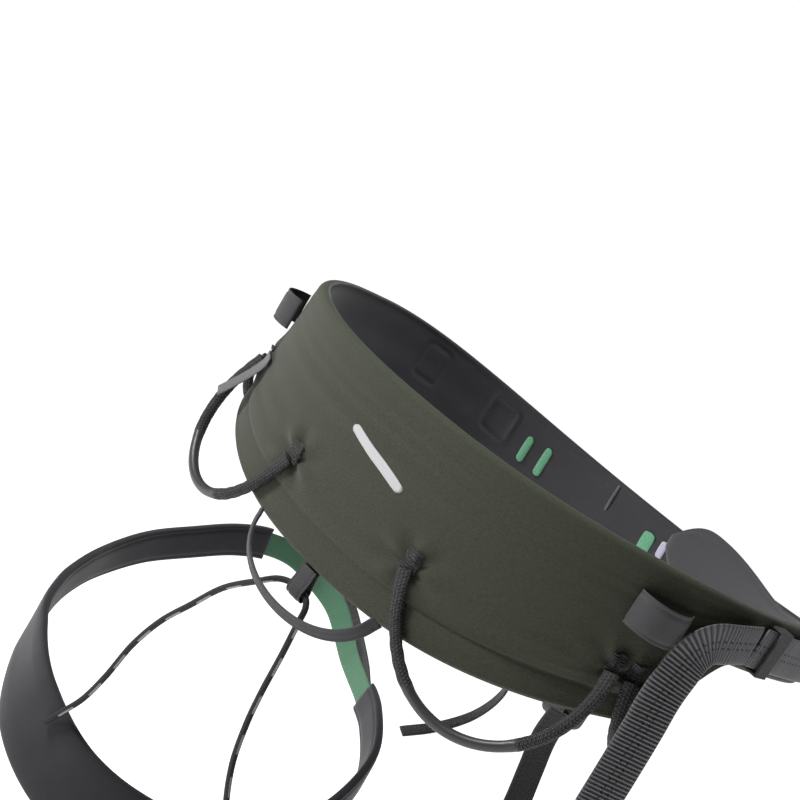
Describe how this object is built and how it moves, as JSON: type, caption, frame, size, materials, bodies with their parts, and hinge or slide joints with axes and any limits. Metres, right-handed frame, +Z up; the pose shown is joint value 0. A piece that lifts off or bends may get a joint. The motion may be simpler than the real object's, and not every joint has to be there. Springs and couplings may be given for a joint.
{
  "type": "climbing harness",
  "caption": "Sit harness with a wide padded waist belt, buckle, tie-in and belay loops, elastic leg loops with a rear riser cord, and corded racking loops.",
  "frame": {"origin": "centre of the waist opening, level with the mean height of the belt's top edge", "axes": "+Z up the wearer's body, -Y the way the wearer faces, +X the wearer's left"},
  "size_m": [0.3854, 0.2779, 0.2894],
  "materials": {
    "shell": "olive heather fabric, matt",
    "lining": "charcoal lining fabric, matt",
    "foam": "laminated foam, matt",
    "webbing": "woven polyamide webbing",
    "tape": "smooth satin tape",
    "cord": "braided sheath cord",
    "green": "green woven elastic",
    "buckle": "satin anodised"
  },
  "bodies": {
    "waist_belt": {"belt_outer_shell": "shell", "belt_foam_core": "foam", "belt_lining": "lining", "belt_load_tape": "webbing", "front_tongue": "lining", "waist_strap": "webbing", "strap_return": "webbing", "buckle_strap": "webbing", "buckle_frame": "buckle", "keeper_front": "webbing", "keeper_side": "webbing", "upper_tie_in_loop": "webbing", "lower_tie_in_loop": "webbing", "bar_tack_rear_inner_left": "cord", "bar_tack_front_inner_left": "cord", "bar_tack_front_outer_left": "cord", "bar_tack_rear_inner_right": "cord", "bar_tack_front_inner_right": "cord", "bar_tack_front_outer_right": "cord", "rear_tab": "tape", "clipper_tape_left": "tape", "clipper_tape_right": "tape", "label_tab": "tape", "riser_cord_left": "cord", "riser_cord_right": "cord"},
    "belay_loop": {"belay_loop": "webbing"},
    "buckle_slider": {"buckle_slider": "buckle"},
    "gear_loop_front_left": {"gear_loop_front_left": "cord"},
    "gear_loop_front_right": {"gear_loop_front_right": "cord"},
    "gear_loop_rear_left": {"gear_loop_rear_left": "cord"},
    "gear_loop_rear_right": {"gear_loop_rear_right": "cord"},
    "haul_loop": {"haul_loop": "tape"},
    "strap_tail": {"strap_tail": "webbing"},
    "leg_loop_left": {"leg_pad_shell_left": "lining", "leg_pad_foam_left": "foam", "leg_pad_lining_left": "lining", "leg_elastic_left": "green", "leg_load_strap_left": "webbing", "leg_tie_strap_left": "webbing"},
    "leg_loop_right": {"leg_pad_shell_right": "lining", "leg_pad_foam_right": "foam", "leg_pad_lining_right": "lining", "leg_elastic_right": "green", "leg_load_strap_right": "webbing", "leg_tie_strap_right": "webbing"}
  },
  "joints": [
    {"name": "gear_loop_rear_left_swing", "type": "hinge", "parent": "waist_belt", "child": "gear_loop_rear_left", "pos_m": [0.08772, 0.09959, -0.04322], "axis": [0.8865, -0.4415, 0.1387], "range_deg": [0, 60]},
    {"name": "gear_loop_rear_right_swing", "type": "hinge", "parent": "waist_belt", "child": "gear_loop_rear_right", "pos_m": [-0.08772, 0.09959, -0.04322], "axis": [0.8865, 0.4415, -0.1387], "range_deg": [0, 60]},
    {"name": "gear_loop_front_left_swing", "type": "hinge", "parent": "waist_belt", "child": "gear_loop_front_left", "pos_m": [0.10225, -0.01912, -0.04185], "axis": [-0.363, -0.93, -0.0572], "range_deg": [0, 55]},
    {"name": "gear_loop_front_right_swing", "type": "hinge", "parent": "waist_belt", "child": "gear_loop_front_right", "pos_m": [-0.1021, -0.01888, -0.03735], "axis": [-0.3658, 0.9306, 0.0105], "range_deg": [0, 20]},
    {"name": "haul_loop_swing", "type": "hinge", "parent": "waist_belt", "child": "haul_loop", "pos_m": [0, 0.11917, -0.08063], "axis": [1, 0, 0], "range_deg": [0, 30]},
    {"name": "belay_loop_shift", "type": "slide", "parent": "waist_belt", "child": "belay_loop", "axis": [0, 0, 1], "range_m": [-0.0015, 0.004]},
    {"name": "buckle_slider_tilt", "type": "hinge", "parent": "waist_belt", "child": "buckle_slider", "pos_m": [-0.04901, -0.12227, -0.02286], "axis": [0, 0, 1], "range_deg": [0, 20]},
    {"name": "strap_tail_swing", "type": "hinge", "parent": "waist_belt", "child": "strap_tail", "pos_m": [-0.15365, 0.02644, -0.00088], "axis": [0.178, 0.984, 0], "range_deg": [0, 40], "deforming": ["strap_tail"]},
    {"name": "leg_loop_left_swing", "type": "hinge", "parent": "waist_belt", "child": "leg_loop_left", "pos_m": [0.019, -0.106, -0.129], "axis": [1, 0, 0], "range_deg": [-4, 12], "deforming": ["riser_cord_left"]},
    {"name": "leg_loop_right_swing", "type": "hinge", "parent": "waist_belt", "child": "leg_loop_right", "pos_m": [-0.019, -0.106, -0.129], "axis": [1, 0, 0], "range_deg": [-4, 12], "deforming": ["riser_cord_right"]}
  ]
}
